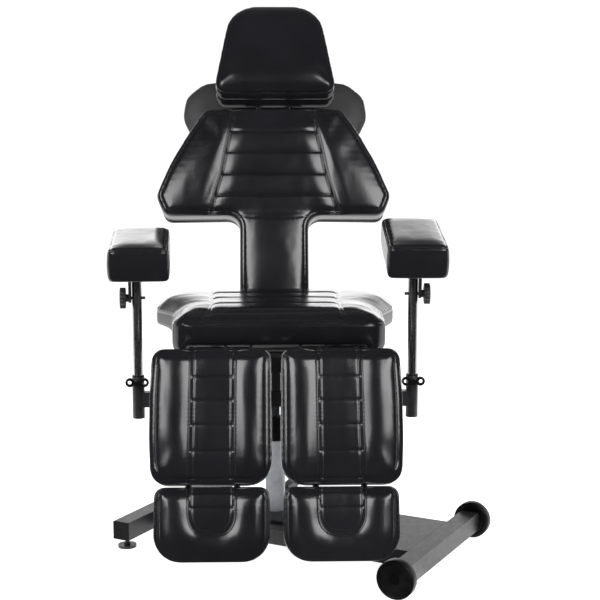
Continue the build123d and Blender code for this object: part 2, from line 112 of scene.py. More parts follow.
def noise(nt, vec, scale, detail=2.0, rough=0.5, stretch=None, distortion=0.0):
    if stretch is not None:
        mp = nt.nodes.new("ShaderNodeMapping")
        mp.inputs["Scale"].default_value = stretch
        nt.links.new(vec, mp.inputs["Vector"])
        vec = mp.outputs[0]
    n = nt.nodes.new("ShaderNodeTexNoise")
    n.inputs["Scale"].default_value = scale
    n.inputs["Detail"].default_value = detail
    n.inputs["Roughness"].default_value = rough
    n.inputs["Distortion"].default_value = distortion
    nt.links.new(vec, n.inputs["Vector"])
    return n.outputs["Fac"]


def voronoi(nt, vec, scale, feature="F1"):
    n = nt.nodes.new("ShaderNodeTexVoronoi")
    n.feature = feature
    n.inputs["Scale"].default_value = scale
    nt.links.new(vec, n.inputs["Vector"])
    return n.outputs["Distance"]


def remap(nt, fac, a, b, lo=0.3, hi=0.7):
    r = nt.nodes.new("ShaderNodeMapRange")
    r.inputs["From Min"].default_value = lo
    r.inputs["From Max"].default_value = hi
    r.inputs["To Min"].default_value = a
    r.inputs["To Max"].default_value = b
    nt.links.new(fac, r.inputs["Value"])
    return r.outputs[0]


def two_tone(nt, fac, c0, c1, lo=0.35, hi=0.65):
    r = nt.nodes.new("ShaderNodeValToRGB")
    r.color_ramp.elements[0].position = lo
    r.color_ramp.elements[0].color = (*c0, 1)
    r.color_ramp.elements[1].position = hi
    r.color_ramp.elements[1].color = (*c1, 1)
    nt.links.new(fac, r.inputs[0])
    return r.outputs[0]


def bump(nt, height, distance, strength=1.0, normal=None):
    n = nt.nodes.new("ShaderNodeBump")
    n.inputs["Strength"].default_value = strength
    n.inputs["Distance"].default_value = distance
    nt.links.new(height, n.inputs["Height"])
    if normal is not None:
        nt.links.new(normal, n.inputs["Normal"])
    return n.outputs[0]


def leather(name, c0, c1, r0, r1, grain=0.00012, waves=0.0009, coat=0.0):
    m, nt, b, vec = node_mat(name)
    blotch = noise(nt, vec, 6, 2, 0.5)
    nt.links.new(two_tone(nt, blotch, c0, c1), b.inputs["Base Color"])
    worn = noise(nt, vec, 11, 2, 0.5)
    nt.links.new(remap(nt, worn, r0, r1), b.inputs["Roughness"])
    # slow unevenness of the stretched cover, fine creases, then the pebble of the grain
    n1 = bump(nt, noise(nt, vec, 13, 2, 0.4, distortion=0.4), waves)
    n2 = bump(nt, noise(nt, vec, 120, 3, 0.5, distortion=1.0), waves * 0.05, normal=n1)
    n3 = bump(nt, voronoi(nt, vec, 620), grain, normal=n2)
    nt.links.new(n3, b.inputs["Normal"])
    if coat:
        b.inputs["Coat Weight"].default_value = coat
        b.inputs["Coat Roughness"].default_value = 0.12
    b.inputs["Specular IOR Level"].default_value = 0.5
    return m


def paint(name, c0, c1, r0, r1, peel=0.00006, metallic=0.0, scale=420):
    m, nt, b, vec = node_mat(name)
    nt.links.new(two_tone(nt, noise(nt, vec, 26, 4, 0.7), c0, c1), b.inputs["Base Color"])
    nt.links.new(remap(nt, noise(nt, vec, 60, 5, 0.7), r0, r1), b.inputs["Roughness"])
    n1 = bump(nt, noise(nt, vec, scale, 2, 0.5), peel)
    nt.links.new(n1, b.inputs["Normal"])
    b.inputs["Metallic"].default_value = metallic
    return m


def brushed(name, c0, c1, r0, r1, stretch, metallic=1.0):
    m, nt, b, vec = node_mat(name)
    lines = noise(nt, vec, 900, 3, 0.6, stretch=stretch)
    nt.links.new(two_tone(nt, lines, c0, c1), b.inputs["Base Color"])
    nt.links.new(remap(nt, lines, r0, r1), b.inputs["Roughness"])
    nt.links.new(bump(nt, lines, 0.00002), b.inputs["Normal"])
    b.inputs["Metallic"].default_value = metallic
    return m


def wood_board(name):
    m, nt, b, vec = node_mat(name)
    g = noise(nt, vec, 30, 6, 0.65, stretch=(1.0, 1.0, 0.07), distortion=0.8)
    nt.links.new(two_tone(nt, g, (0.010, 0.010, 0.010), (0.030, 0.029, 0.028)), b.inputs["Base Color"])
    nt.links.new(remap(nt, g, 0.5, 0.7), b.inputs["Roughness"])
    nt.links.new(bump(nt, g, 0.0004), b.inputs["Normal"])
    return m


LEATHER = leather("gloss_leather", (0.0055, 0.0055, 0.0068), (0.0080, 0.0080, 0.0096), 0.19, 0.24, grain=0.00003,
                  waves=0.0005)
LEATHER_DULL = leather("dull_leather", (0.016, 0.016, 0.016), (0.022, 0.022, 0.022), 0.55, 0.66, waves=0.0005)
THREAD = paint("black_thread", (0.012, 0.012, 0.012), (0.03, 0.03, 0.03), 0.45, 0.6, peel=0.0001, scale=1500)
FRAME_PAINT = paint("powder_paint", (0.010, 0.010, 0.011), (0.018, 0.018, 0.020), 0.32, 0.44)
PLASTIC = paint("moulded_plastic", (0.003, 0.003, 0.003), (0.007, 0.007, 0.007), 0.30, 0.42, scale=700)
PLASTIC.node_tree.nodes["Principled BSDF"].inputs["Specular IOR Level"].default_value = 0.10
KNOB = paint("knob_plastic", (0.012, 0.012, 0.012), (0.022, 0.022, 0.022), 0.42, 0.55, scale=700)
TYRE = paint("wheel_tread", (0.012, 0.012, 0.012), (0.022, 0.022, 0.022), 0.5, 0.65, peel=0.00015, scale=500)
CHROME = brushed("chrome", (0.36, 0.37, 0.38), (0.46, 0.47, 0.48), 0.06, 0.12, (1, 1, 0.02))
POST = brushed("post_steel", (0.30, 0.30, 0.30), (0.46, 0.46, 0.45), 0.20, 0.30, (1, 1, 0.02))
DARK_STEEL = brushed("black_steel", (0.030, 0.030, 0.031), (0.075, 0.075, 0.077), 0.30, 0.45, (1, 1, 1))
PUMP = paint("pump_enamel", (0.33, 0.34, 0.36), (0.42, 0.43, 0.45), 0.25, 0.36, scale=300)
BOARD = wood_board("stained_board")


# ------------------------------------------------------------------ mesh helpers
def new_object(name, mesh):
    o = bpy.data.objects.new(name, mesh)
    scene.collection.objects.link(o)
    return o


def coords(mesh):
    co = np.zeros(len(mesh.vertices) * 3)
    mesh.vertices.foreach_get("co", co)
    return co.reshape(-1, 3)


def set_coords(mesh, co):
    mesh.vertices.foreach_set("co", np.asarray(co, float).ravel())
    mesh.update()


def normals(mesh):
    n = np.zeros(len(mesh.vertices) * 3)
    mesh.vertices.foreach_get("normal", n)
    return n.reshape(-1, 3)


def bake(o):
    dg = bpy.context.evaluated_depsgraph_get()
    me = bpy.data.meshes.new_from_object(o.evaluated_get(dg))
    o.modifiers.clear()
    old = o.data
    o.data = me
    if old.users == 0:
        bpy.data.meshes.remove(old)
    return o


def smooth_shade(mesh):
    mesh.polygons.foreach_set("use_smooth", [True] * len(mesh.polygons))


def mesh_from(name, verts, faces, mat, smooth=True):
    me = bpy.data.meshes.new(name)
    me.from_pydata([tuple(v) for v in verts], [], [tuple(f) for f in faces])
    me.update()
    if smooth:
        smooth_shade(me)
    me.materials.append(mat)
    return new_object(name, me)


_T = np.random.RandomState(11).rand(64, 64, 64) * 2 - 1


def vnoise(P):
    P = np.asarray(P, float)
    i = np.floor(P).astype(int)
    f = P - i
    f = f * f * (3 - 2 * f)
    out = 0
    for dx in (0, 1):
        for dy in (0, 1):
            for dz in (0, 1):
                w = (f[:, 0] if dx else 1 - f[:, 0]) * (f[:, 1] if dy else 1 - f[:, 1]) * (f[:, 2] if dz else 1 - f[:, 2])
                out = out + w * _T[(i[:, 0] + dx) & 63, (i[:, 1] + dy) & 63, (i[:, 2] + dz) & 63]
    return out


def ss(x, a, b):
    t = np.clip((x - a) / (b - a), 0, 1)
    return t * t * (3 - 2 * t)


def seg_dist(P, poly, closed=False):
    """distance of each point of P to the polyline, and the length along it of the nearest point"""
    pts = np.asarray(poly, float)
    if closed:
        pts = np.vstack([pts, pts[:1]])
    best = np.full(len(P), 1e9)
    along = np.zeros(len(P))
    run = 0.0
    for a, b in zip(pts[:-1], pts[1:]):
        d = b - a
        L = np.hypot(*d)
        if L < 1e-9:
            continue
        t = np.clip(((P - a) @ d) / (L * L), 0, 1)
        r = np.hypot(P[:, 0] - a[0] - t * d[0], P[:, 1] - a[1] - t * d[1])
        m = r < best
        best[m] = r[m]
        along[m] = run + t[m] * L
        run += L
    return best, along


def rounded(pts, radii, n=7):
    out = []
    k = len(pts)
    if not hasattr(radii, "__len__"):
        radii = [radii] * k
    for i in range(k):
        p = np.array(pts[i], float)
        a = np.array(pts[i - 1], float) - p
        b = np.array(pts[(i + 1) % k], float) - p
        la, lb = np.hypot(*a), np.hypot(*b)
        a, b = a / la, b / lb
        ang = acos(max(-1, min(1, float(a @ b))))
        r = radii[i]
        t = min(r / tan(ang / 2), la * 0.49, lb * 0.49)
        r = t * tan(ang / 2)
        c = p + (a + b) / np.hypot(*(a + b)) * (r / sin(ang / 2))
        s, e = p + a * t, p + b * t
        a0, a1 = atan2(*(s - c)[::-1]), atan2(*(e - c)[::-1])
        da = (a1 - a0 + pi) % (2 * pi) - pi
        for j in range(n + 1):
            q = a0 + da * j / n
            out.append((c[0] + r * cos(q), c[1] + r * sin(q)))
    return np.array(out)


def smooth_line(pts, n=8):
    """points along a Catmull-Rom curve through pts"""
    P = np.array(pts, float)
    P = np.vstack([2 * P[0] - P[1], P, 2 * P[-1] - P[-2]])
    out = []
    for i in range(1, len(P) - 2):
        for j in range(n):
            t = j / n
            out.append(0.5 * (2 * P[i] + (P[i + 1] - P[i - 1]) * t + (2 * P[i - 1] - 5 * P[i] + 4 * P[i + 1] - P[i + 2]) * t * t
                              + (3 * P[i] - P[i - 1] - 3 * P[i + 1] + P[i + 2]) * t ** 3))
    out.append(P[-2])
    return np.array(out)


def offset_line(poly, d):
    p = np.asarray(poly, float)
    t = np.gradient(p, axis=0)
    t /= np.maximum(np.hypot(t[:, 0], t[:, 1]), 1e-9)[:, None]
    return p + np.stack([-t[:, 1], t[:, 0]], 1) * d


# ------------------------------------------------------------------ soft pieces
def swell(o, F, pin_z, cap, pressure):
    """Cloth under inner pressure; the face that rests on its board stays where it is."""
    me = o.data
    P0 = coords(me)
    q = to_local(P0, F)
    n = normals(me) @ F[1].T
    vg = o.vertex_groups.new(name="pin")
    # held where the cover is stapled to the board and along the stiff side walls
    held = (q[:, 2] < pin_z) | (n[:, 2] < 0.22)
    for i in np.nonzero(held)[0]:
        vg.add([int(i)], 1.0, "REPLACE")
    m = o.modifiers.new("cloth", "CLOTH")
    s = m.settings
    s.quality = 4
    s.mass = 0.3
    s.tension_stiffness = s.compression_stiffness = 15
    s.shear_stiffness = 8
    s.bending_stiffness = 1.0
    s.use_pressure = True
    s.uniform_pressure_force = pressure
    s.effector_weights.gravity = 0
    s.vertex_group_mass = "pin"
    m.point_cache.frame_start = 1
    m.point_cache.frame_end = 20
    for f in range(1, 21):
        scene.frame_set(f)
    dg = bpy.context.evaluated_depsgraph_get()
    ev = o.evaluated_get(dg)
    tmp = ev.to_mesh()
    P1 = coords(tmp)
    ev.to_mesh_clear()
    o.modifiers.clear()
    o.vertex_groups.clear()
    scene.frame_set(1)
    d = P1 - P0
    # the foam under the cover evens out the small folds of the bare cloth
    e = np.array([ed.vertices[:] for ed in me.edges])
    cnt = np.maximum(np.bincount(e.ravel(), minlength=len(d)), 1)[:, None]
    for _ in range(16):
        t = np.zeros_like(d)
        np.add.at(t, e[:, 0], d[e[:, 1]])
        np.add.at(t, e[:, 1], d[e[:, 0]])
        d = 0.4 * d + 0.6 * t / cnt
        d[held] = 0
    L = np.linalg.norm(d, axis=1)
    k = np.where(L > 1e-9, cap * np.tanh(L / cap) / np.maximum(L, 1e-9), 0)
    set_coords(me, P0 + d * k[:, None])


def refine(o, F, lines, reach, times, side_z=None):
    """Splits the faces beside the seams, so that a narrow seam has points enough."""
    for _ in range(times):
        me = o.data
        q = to_local(coords(me), F)
        n = normals(me) @ F[1].T
        near = np.zeros(len(q), bool)
        for ln in lines:
            d, _a = seg_dist(q[:, :2], ln)
            near |= (d < reach) & (n[:, 2] > 0.05)
        if side_z:
            for z in side_z:
                near |= (np.abs(q[:, 2] - z) < reach) & (np.abs(n[:, 2]) < 0.92)
        bm = bmesh.new()
        bm.from_mesh(me)
        bm.verts.ensure_lookup_table()
        es = [e for e in bm.edges if near[e.verts[0].index] and near[e.verts[1].index]]
        bmesh.ops.subdivide_edges(bm, edges=es, cuts=1, use_grid_fill=True)
        bm.to_mesh(me)
        bm.free()
        me.update()


def soft(name, node, body, F, shape, voxel=0.0065, shrink=7.0, cap=0.010, pressure=4.0, pin_z=None, lines=(),
         side_z=None, mat=None, reach=12.0, round_it=6):
    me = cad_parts[node].data.copy()
    o = new_object(name, me)
    me.materials.clear()
    m = o.modifiers.new("r", "REMESH")
    m.mode = "VOXEL"
    m.voxel_size = voxel
    m.adaptivity = 0
    s = o.modifiers.new("s", "SMOOTH")
    s.factor = 0.5
    s.iterations = round_it
    bake(o)
    q = to_local(coords(o.data), F)
    n = normals(o.data) @ F[1].T
    zlo = q[:, 2].min()
    # a slightly lower front, which the pressure then fills; back and sides keep their planes
    side = ss(n[:, 2:3], 0.2, 0.8)
    q = q - n * side * shrink
    set_coords(o.data, to_world(q, F))
    swell(o, F, zlo + 8 if pin_z is None else pin_z, cap, pressure)
    sub = o.modifiers.new("sub", "SUBSURF")
    sub.levels = sub.render_levels = 1
    bake(o)
    refine(o, F, lines, reach, 1, side_z)
    q = to_local(coords(o.data), F)
    n = normals(o.data) @ F[1].T
    q = shape(q, n)
    set_coords(o.data, to_world(q, F))
    smooth_shade(o.data)
    o.data.materials.append(mat or LEATHER)
    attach(o, body)
    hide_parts(node)
    return o


def mirrored(name, src, F0, F1, x_sum, node, body):
    """The same cushion on the other side: local x becomes x_sum - x."""
    me = src.data.copy()
    q = to_local(coords(me), F0)
    q[:, 0] = x_sum - q[:, 0]
    set_coords(me, to_world(q, F1))
    me.flip_normals()
    me.update()
    o = new_object(name, me)
    smooth_shade(me)
    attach(o, body)
    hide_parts(node)
    return o


def stitches(name, pad, F, lines, body, pitch=6.5, length=4.2, r=0.55, step=None):
    """Rows of thread on the finished surface along the lines (local x, y)."""
    me = pad.data
    q = to_local(coords(me), F)
    tree = BVHTree.FromPolygons([tuple(v) for v in q], [tuple(p.vertices) for p in me.polygons])
    verts, faces = [], []
    for ln in lines:
        ln = np.asarray(ln, float)
        seg = np.hypot(*np.diff(ln, axis=0).T)
        cum = np.concatenate([[0], np.cumsum(seg)])
        s = pitch * 0.5
        while s + length < cum[-1]:
            ends = []
            for t in (s, s + length):
                p = np.array([np.interp(t, cum, ln[:, 0]), np.interp(t, cum, ln[:, 1])])
                hit = tree.ray_cast(Vector((p[0], p[1], 400)), Vector((0, 0, -1)))
                ends.append(hit)
            s += pitch
            if ends[0][0] is None or ends[1][0] is None or ends[0][1].z < 0.25:
                continue
            nn = (ends[0][1] + ends[1][1]).normalized()
            a, b = ends[0][0], ends[1][0]
            d = (b - a)
            if d.length > length * 1.8:
                continue
            d.normalize()
            w = nn.cross(d).normalized()
            base = len(verts)
            for k, (t, rr, up) in enumerate(((0, 0.35, -0.3), (0.25, 1.0, 0.35), (0.75, 1.0, 0.35), (1, 0.35, -0.3))):
                c = a.lerp(b, t) + nn * (up * r)
                for j in range(6):
                    g = 2 * pi * j / 6
                    verts.append(c + (w * cos(g) + nn * sin(g)) * r * rr)
            for k in range(3):
                for j in range(6):
                    v0 = base + k * 6 + j
                    v1 = base + k * 6 + (j + 1) % 6
                    faces.append((v0, v1, v1 + 6, v0 + 6))
            faces.append(tuple(base + j for j in range(5, -1, -1)))
            faces.append(tuple(base + 18 + j for j in range(6)))
    if not verts:
        return None
    W = to_world(np.array([tuple(v) for v in verts]), F)
    o = mesh_from(name, W, faces, THREAD)
    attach(o, body)
    return o


def valley(d, depth, width):
    """the fall of a cushion towards a seam: a parabola that reaches its top at width"""
    return -depth * np.clip(1 - d / width, 0, 1) ** 2


def crease(d, depth, w):
    return -depth * np.exp(-np.abs(d) / w)


def groove(d, depth, w):
    return -depth * np.exp(-(d / w) ** 2)


def puckers(along, d, amp, pitch=9.0, reach=9.0):
    w = 0.55 + 0.45 * np.sin(along / 23.0 + 0.7)
    return 0.22 * amp * w * np.sin(2 * pi * along / pitch + 1.3 * np.sin(along / 17.0)) * np.exp(-d / reach)


def wrinkles(q, scale, amp, seed=0.0):
    P = q / scale + seed
    return 0.5 * amp * (vnoise(P) + 0.35 * vnoise(P * 2.1 + 7.7))


# ------------------------------------------------------------------ calf pads
CALF_OUT = rounded([(11, -4), (305, -4), (310, -130), (310, -230), (304, -337), (11, -337)], [26, 30, 500, 500, 58, 40])
CALF_A = smooth_line([(104, 2), (104.5, -60), (105, -140), (105.5, -220), (106, -290), (105, -326)])
CALF_B = smooth_line([(206, 2), (206, -60), (206.5, -140), (207.5, -220), (209, -290), (209, -326)])
CALF_CH = [-76, -134.5, -194, -257.5]


def calf_shape(q, n):
    x, y = q[:, 0], q[:, 1]
    P = q[:, :2]
    front = ss(n[:, 2], 0.15, 0.75)
    e, ea = seg_dist(P, CALF_OUT, True)
    da, aa = seg_dist(P, CALF_A)
    db, ab = seg_dist(P, CALF_B)
    mid = (x > np.interp(y, [-330, 0], [105.5, 104.2])) & (x < np.interp(y, [-330, 0], [209, 206]))
    d = np.minimum(da, db)
    along = np.where(da < db, aa, ab)
    dz = np.where(mid, -11.0 + valley(d, 2.0, 12), valley(d, 13, 58))
    dz += np.where(~mid, -5.0 * (1 - ss(e, 0, 36)), 0)
    for yc in CALF_CH:
        dc = np.abs(y - yc)
        dz += np.where(mid, crease(dc, 2.0, 3.0) * ss(d, -2, 3), 0)
    dz += np.where(mid, 1.0 * ss(d, 0, 40), 0)
    for s in (-4.5, 4.5):
        for ln in (CALF_A, CALF_B):
            dd, aa2 = seg_dist(P, offset_line(ln, s))
            dz += groove(dd, 1.3, 1.9)
    dz += puckers(along, d, 0.55)
    # the seam round the front panel
    dz += (groove(e - 15, 1.8, 2.2) + puckers(ea, np.abs(e - 15), 0.2)) * (1 - ss(y, -48, -26))
    dz += wrinkles(q * [1, 0.25, 1], 24, 1.0) * ss(e, 8, 30)
    # the panel bends in at its lower end
    out = q.copy()
    out[:, 2] += dz * front
    # boxing seams round the side
    side = ss(1 - np.abs(n[:, 2]), 0.25, 0.7)
    b = groove(q[:, 2] - 30, 2.0, 2.2)
    out += n * (b * side)[:, None]
    return out


calf_lines = [offset_line(CALF_A, 0), offset_line(CALF_B, 0)] + [np.array([(104, yc), (208, yc)]) for yc in CALF_CH]
calf_r = soft("calf_pad_right", "calf_cushion_right", "leg_right", LL, calf_shape, lines=calf_lines, cap=0.011,
              shrink=7)
calf_l = mirrored("calf_pad_left", calf_r, LL, LL, 0, "calf_cushion_left", "leg_left")


def inner_rows(lines, gap):
    out = []
    for ln in lines:
        for s in (-gap, gap):
            out.append(offset_line(ln, s))
    return out


st = inner_rows([CALF_A, CALF_B], 6.8)
stitches("calf_stitching_right", calf_r, LL, [ln[(ln[:, 1] > -318) & (ln[:, 1] < -14)] for ln in st], "leg_right")
stitches("calf_stitching_left", calf_l, LL, [ln[(ln[:, 1] > -318) & (ln[:, 1] < -14)] * [-1, 1] for ln in st],
         "leg_left")

# ------------------------------------------------------------------ foot pads
FOOT_OUT = rounded([(16, -342), (296, -342), (296, -521), (16, -521)], [24, 24, 66, 66])
FOOT_U = smooth_line([(103, -338), (103.5, -380), (105, -415), (110, -433), (121, -446), (138, -452.5), (157, -453.5),
                      (176, -452.5), (193, -446), (203, -433), (208, -415), (209.5, -380), (210, -338)], 5)


def foot_shape(q, n):
    x, y = q[:, 0], q[:, 1]
    P = q[:, :2]
    front = ss(n[:, 2], 0.15, 0.75)
    e, ea = seg_dist(P, FOOT_OUT, True)
    d, along = seg_dist(P, FOOT_U)
    inside = (y > -453) & (x > np.interp(y, [-453, -446, -433, -415, -342], [150, 121, 110, 105, 103])) \
        & (x < np.interp(y, [-453, -446, -433, -415, -342], [164, 193, 203, 208, 210]))
    dz = np.where(inside, -10.0 + valley(d, 2.0, 11), valley(d, 12, 52))
    dz += np.where(~inside, -6.0 * (1 - ss(e, 0, 38)), 0)
    dz += np.where(inside, crease(np.abs(y + 393.5), 2.0, 3.0) * ss(d, -2, 3), 0)
    for s in (-4.2, 4.2):
        dd, _a = seg_dist(P, offset_line(FOOT_U, s))
        dz += groove(dd, 1.2, 1.9)
    dz += puckers(along, d, 0.55)
    dz += (groove(e - 14, 1.5, 2.2) + puckers(ea, np.abs(e - 14), 0.2)) * (1 - ss(y, -378, -356))
    dz += wrinkles(q * [1, 0.4, 1], 24, 0.9, 3.1) * ss(e, 8, 30)
    out = q.copy()
    out[:, 2] += dz * front
    side = ss(1 - np.abs(n[:, 2]), 0.25, 0.7)
    out += n * (groove(q[:, 2] - 52, 1.6, 2.2) * side)[:, None]
    return out


foot_r = soft("foot_pad_right", "foot_cushion_right", "foot_right", LL, foot_shape, voxel=0.006,
              lines=[FOOT_U, np.array([(104, -393.5), (209, -393.5)])], cap=0.010, shrink=7)
foot_l = mirrored("foot_pad_left", foot_r, LL, LL, 0, "foot_cushion_left", "foot_left")
st = inner_rows([FOOT_U], 6.6)
stitches("foot_stitching_right", foot_r, LL, st, "foot_right")
stitches("foot_stitching_left", foot_l, LL, [ln * [-1, 1] for ln in st], "foot_left")

# ------------------------------------------------------------------ seat cushion
SEAT_OUT = rounded([(-265, -281), (282, -281), (282, -110), (324, 5), (324, 130), (280, 200), (-280, 200),
                    (-324, 130), (-324, 5), (-266, -110)], [56, 56, 70, 60, 50, 50, 50, 50, 60, 70])
SEAT_R = smooth_line([(196, -275), (182, -250), (172, -222), (168, -180), (167, -90), (171, 0), (176, 100),
                      (181, 215)])
SEAT_L = SEAT_R * [-1, 1]
SEAT_CH = [154, 54, -41, -140, -232]


def seat_shape(q, n):
    x, y = q[:, 0], q[:, 1]
    P = q[:, :2]
    top = ss(n[:, 2], 0.15, 0.75)
    e, ea = seg_dist(P, SEAT_OUT, True)
    dr, ar = seg_dist(P, SEAT_R)
    dl, al = seg_dist(P, SEAT_L)
    d = np.minimum(dr, dl)
    along = np.where(dr < dl, ar, al)
    edge_x = np.interp(y, [-275, -250, -222, -180, -90, 0, 100, 215], [196, 182, 172, 168, 167, 171, 176, 181])
    mid = (np.abs(x) < edge_x) & (y > -268)
    dz = np.where(mid, -1.5 + valley(d, 4, 26), valley(d, 5.5, 62))
    dz += -5.0 * (1 - ss(e, 0, 60))
    for yc in SEAT_CH:
        dz += np.where(mid, crease(np.abs(y - yc), 3.4, 6.5) * ss(d, 0, 8), 0)
    for s in (-4.5, 4.5):
        for ln in (SEAT_R, SEAT_L):
            dd, _a = seg_dist(P, offset_line(ln, s))
            dz += groove(dd, 2.0, 1.9)
    dz += puckers(along, d, 0.5, 11)
    dz += wrinkles(q * [0.5, 1, 1], 42, 1.6, 5.3) * ss(e, 5, 50)
    out = q.copy()
    out[:, 2] += dz * top
    side = ss(1 - np.abs(n[:, 2]), 0.12, 0.5)
    zs = 661 - 7.5 * (np.abs(x) / 225.0) ** 2 + 1.5 * np.sin(x / 47.0 + 0.4)
    b = groove(q[:, 2] - zs, 2.0, 2.6) + puckers(ea, np.abs(q[:, 2] - zs), 0.8, 12, 10)
    out += n * (b * side)[:, None]
    return out


seat = soft("seat_pad", "seat_cushion", "turret", SL, seat_shape, voxel=0.0075, cap=0.010, shrink=6,
            lines=[SEAT_R, SEAT_L] + [np.array([(-170, yc), (170, yc)]) for yc in SEAT_CH], side_z=[655])
st = inner_rows([SEAT_R, SEAT_L], 6.8)
stitches("seat_stitching", seat, SL, st, "turret")

# ------------------------------------------------------------------ backrest
BACK_OUT = rounded([(-100, -20), (100, -20), (100, 291), (318, 289), (343, 350), (302, 450), (248, 548), (200, 619),
                    (-200, 619), (-248, 548), (-305, 450), (-345, 351), (-318, 289), (-100, 291)],
                   [12, 12, 38, 30, 34, 500, 60, 34, 34, 60, 500, 34, 30, 38])
BACK_R = smooth_line([(118, 618), (122, 580), (131, 530), (141, 482), (154, 415), (171, 356), (181, 312), (184, 290)])
BACK_L = BACK_R * [-1, 1]
BACK_CH = [544, 479.4, 412.3, 345.7]
WAIST = smooth_line([(-104, 284), (-60, 279.5), (0, 278), (60, 279.5), (104, 284)])


def back_shape(q, n):
    x, y = q[:, 0], q[:, 1]
    P = q[:, :2]
    front = ss(n[:, 2], 0.15, 0.75)
    e, ea = seg_dist(P, BACK_OUT, True)
    dr, ar = seg_dist(P, BACK_R)
    dl, al = seg_dist(P, BACK_L)
    d = np.minimum(dr, dl)
    along = np.where(dr < dl, ar, al)
    edge_x = np.interp(y, [290, 312, 356, 415, 482, 530, 580, 618], [184, 181, 171, 154, 141, 131, 122, 118])
    mid = (np.abs(x) < edge_x) & (y > 284)
    up = ss(y, 284, 330)
    dw, aw = seg_dist(P, WAIST)
    wing = ss(y, 292, 300)
    dz = np.where(mid, -5.0 + valley(d, 7.0, 50), valley(d, 9.0, 46)) * ss(y, 275, 305)
    dz += np.where(~mid & (y > 290), -1.0 * (1 - ss(e, 0, 40)), 0)
    for yc in BACK_CH:
        bow = 2.5 * (np.abs(x) / 150.0) ** 2
        # each channel overlaps the next: steep above the seam, softer below
        s = y - yc - bow
        dz += np.where(mid, np.where(s > 0, crease(s, 5.0, 15.0), crease(s, 5.0, 2.5)) * ss(d, -2, 3), 0)
    dz += np.where(np.abs(x) < 112, crease(y - np.interp(x, [-104, 0, 104], [284, 278, 284]), 2.4, 4.0), 0)
    for s in (-4.5, 4.5):
        for ln in (BACK_R, BACK_L):
            dd, _a = seg_dist(P, offset_line(ln, s))
            dz += groove(dd, 1.3, 1.9) * wing
    dz += puckers(along, d, 0.55) * wing
    # folds that run down beside the borders
    fold = vnoise(np.stack([(np.abs(x) + 0.40 * y) / 17.0, y / 120.0 + 9 * (x > 0), 0 * x], 1))
    dz += 1.3 * fold * np.exp(-np.clip(d - 8, 0, None) / 24) * (~mid) * wing
    dz += groove(e - 13, 1.5, 2.3) + puckers(ea, np.abs(e - 13), 0.2)
    dz += wrinkles(q * [1, 0.5, 1], 36, 1.2, 8.8) * ss(e, 5, 40)
    out = q.copy()
    out[:, 2] += dz * front
    side = ss(1 - np.abs(n[:, 2]), 0.25, 0.7)
    b = groove(q[:, 2] - 42, 2.4, 2.6)
    out += n * (b * side)[:, None]
    return out


back = soft("backrest_pad", "back_cushion", "backrest", BL, back_shape, voxel=0.0070, cap=0.009, shrink=5,
            lines=[BACK_R, BACK_L, WAIST] + [np.array([(-184, yc), (184, yc)]) for yc in BACK_CH])
st = inner_rows([BACK_R, BACK_L], 6.8)
stitches("backrest_stitching", back, BL, [ln[(ln[:, 1] > 300) & (ln[:, 1] < 606)] for ln in st], "backrest")

# ------------------------------------------------------------------ headrest
HEAD_OUT = rounded([(-172, 0), (182, 0), (184, 34), (158, 190), (137, 295), (-127, 295), (-147, 190), (-174, 34)],
                   [28, 28, 40, 90, 94, 94, 90, 40])


def head_shape(q, n):
    P = q[:, :2]
    front = ss(n[:, 2], 0.15, 0.75)
    e, ea = seg_dist(P, HEAD_OUT, True)
    dz = -5.0 * (1 - ss(e, 0, 60)) + wrinkles(q, 48, 0.8, 6.1) * ss(e, 5, 40)
    out = q.copy()
    out[:, 2] += dz * front
    side = ss(1 - np.abs(n[:, 2]), 0.2, 0.6)
    z = q[:, 2]
    b = crease(z + 31, 6.0, 5.0) + crease(z + 63, 6.0, 5.0) + puckers(ea, np.abs(z + 63), 0.5, 11, 8)
    out += n * (b * side)[:, None]
    return out


head = soft("headrest_pad", "headrest_cushion", "headrest", HL, head_shape, voxel=0.0065, cap=0.006, shrink=3,
            side_z=[-31, -63], reach=9)


# ------------------------------------------------------------------ rear arm pad
REAR_OUT = rounded([(-188, 556), (192, 556), (252, 578), (286, 645), (277, 712), (226, 757), (150, 768), (-148, 768),
                    (-221, 757), (-273, 712), (-283, 645), (-249, 578)],
                   [40, 40, 45, 60, 50, 70, 40, 40, 70, 50, 60, 45]) + [4, 0]


def rear_shape(q, n):
    P = q[:, :2]
    front = ss(n[:, 2], 0.15, 0.75)
    e, ea = seg_dist(P, REAR_OUT, True)
    out = q.copy()
    out[:, 2] += (-4.0 * (1 - ss(e, 0, 45)) + wrinkles(q, 40, 0.7, 2.6)) * front
    side = ss(1 - np.abs(n[:, 2]), 0.25, 0.7)
    out += n * (groove(q[:, 2] + 96, 1.8, 2.4) * side)[:, None]
    return out


rear = soft("rear_arm_pad_cover", "rear_pad_cushion", "rear_arm_pad", BL, rear_shape, voxel=0.0065, cap=0.008,
            shrink=5, mat=LEATHER_DULL)

# ------------------------------------------------------------------ armrests
ARM_OUT = rounded([(284.5, -140), (439.5, -140), (439.5, 220), (284.5, 220)], 20)


def arm_shape(q, n):
    P = q[:, :2]
    top = ss(n[:, 2], 0.15, 0.75)
    e, ea = seg_dist(P, ARM_OUT, True)
    dz = -1.0 * (1 - ss(e, 0, 40)) + groove(e - 9, 1.2, 2.2) + puckers(ea, np.abs(e - 9), 0.2)
    dz += wrinkles(q * [1, 0.4, 1], 34, 0.7, 7.4) * ss(e, 5, 30)
    out = q.copy()
    out[:, 2] += dz * top
    side = ss(1 - np.abs(n[:, 2]), 0.25, 0.7)
    b = groove(q[:, 2] - 145, 1.7, 2.2) + 2.2 * np.exp(-((q[:, 2] - 106) / 27) ** 2) - 0.8
    out += n * ((b + wrinkles(q, 30, 0.6, 9.9)) * side)[:, None]
    return out


